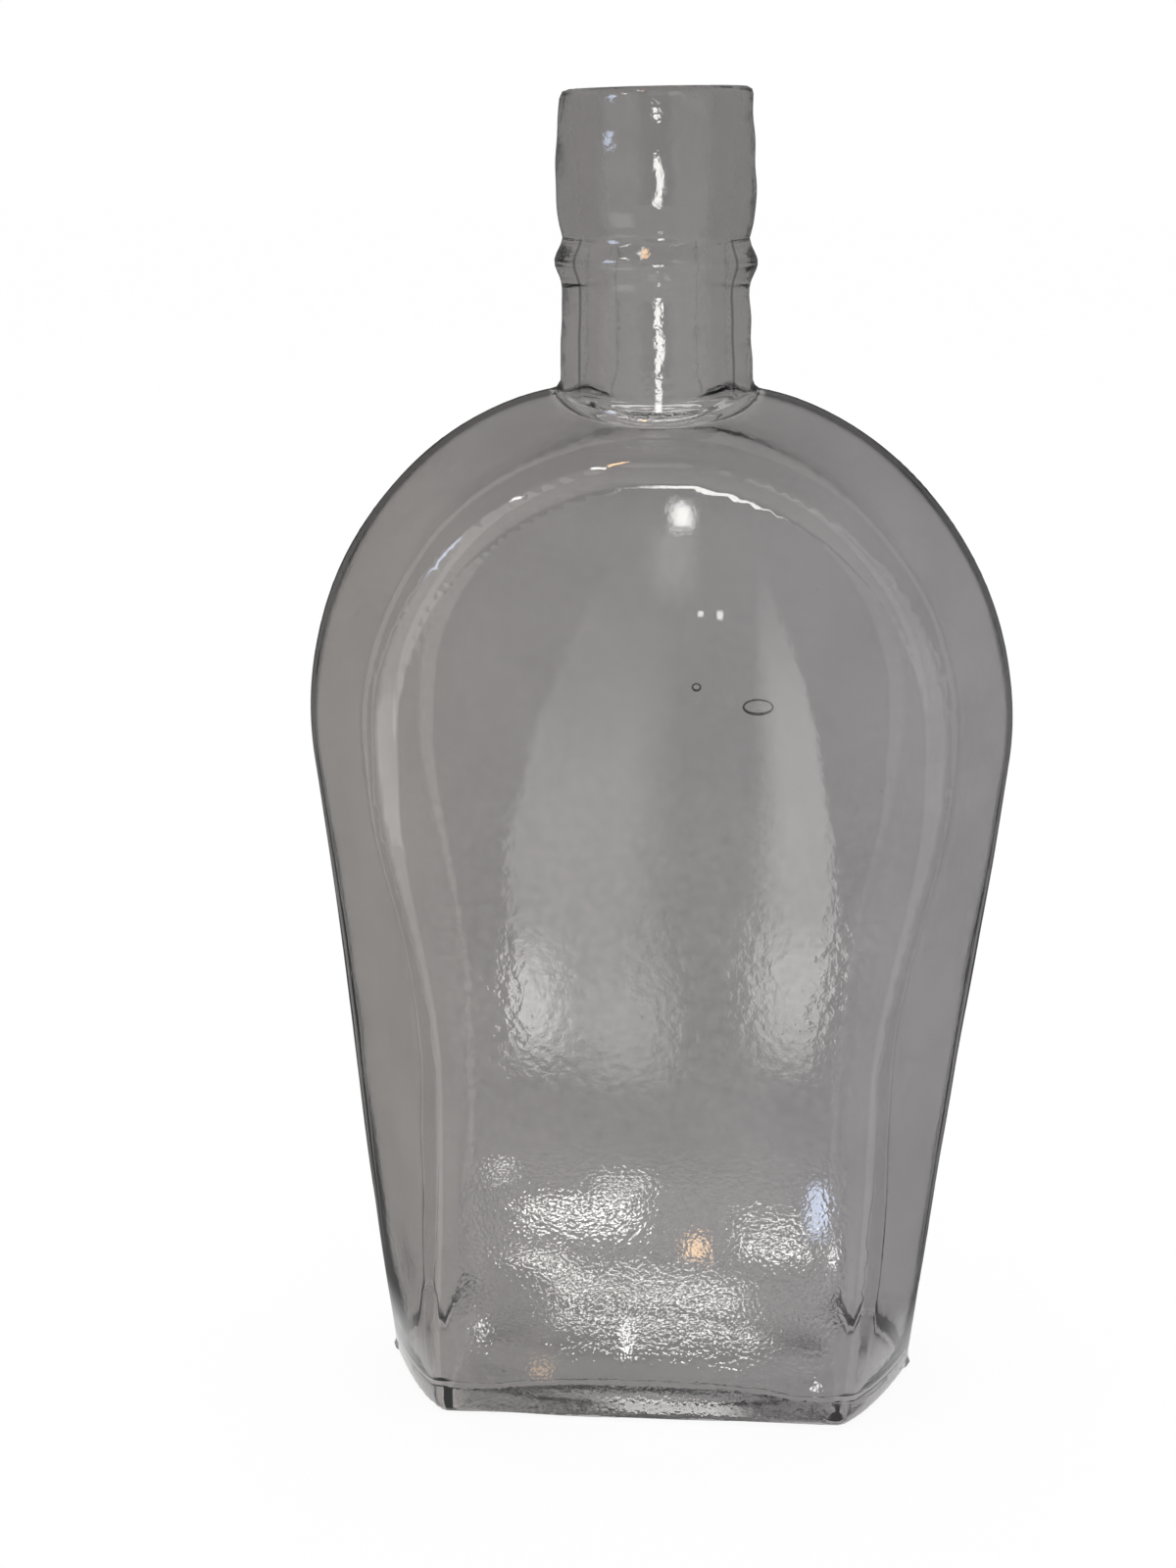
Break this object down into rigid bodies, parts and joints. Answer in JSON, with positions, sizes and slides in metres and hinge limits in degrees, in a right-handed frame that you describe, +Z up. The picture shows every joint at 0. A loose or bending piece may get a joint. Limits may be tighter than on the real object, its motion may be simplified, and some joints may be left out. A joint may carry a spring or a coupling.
{
  "type": "coffin flask",
  "caption": "Empty horseshoe-shaped glass spirit flask with flat keyhole panels, bevelled sides and a round open neck finished by a bead ring and a barrel lip collar.",
  "frame": {"origin": "centre of the base, on the plane that the flask stands on", "axes": "+Z up the neck, +X across the seams to the right of the front panel, -Y out of the front panel"},
  "size_m": [0.0888, 0.037, 0.165],
  "materials": {
    "blown_glass": "clear glass with a grey-lilac cast, fire-polished outside, wavy and seedy inside",
    "added_glass": "the same glass laid on hot and tooled round the neck"
  },
  "bodies": {
    "root": {"flask_body": "blown_glass", "lip_collar": "added_glass", "neck_ring": "added_glass"}
  },
  "joints": []
}
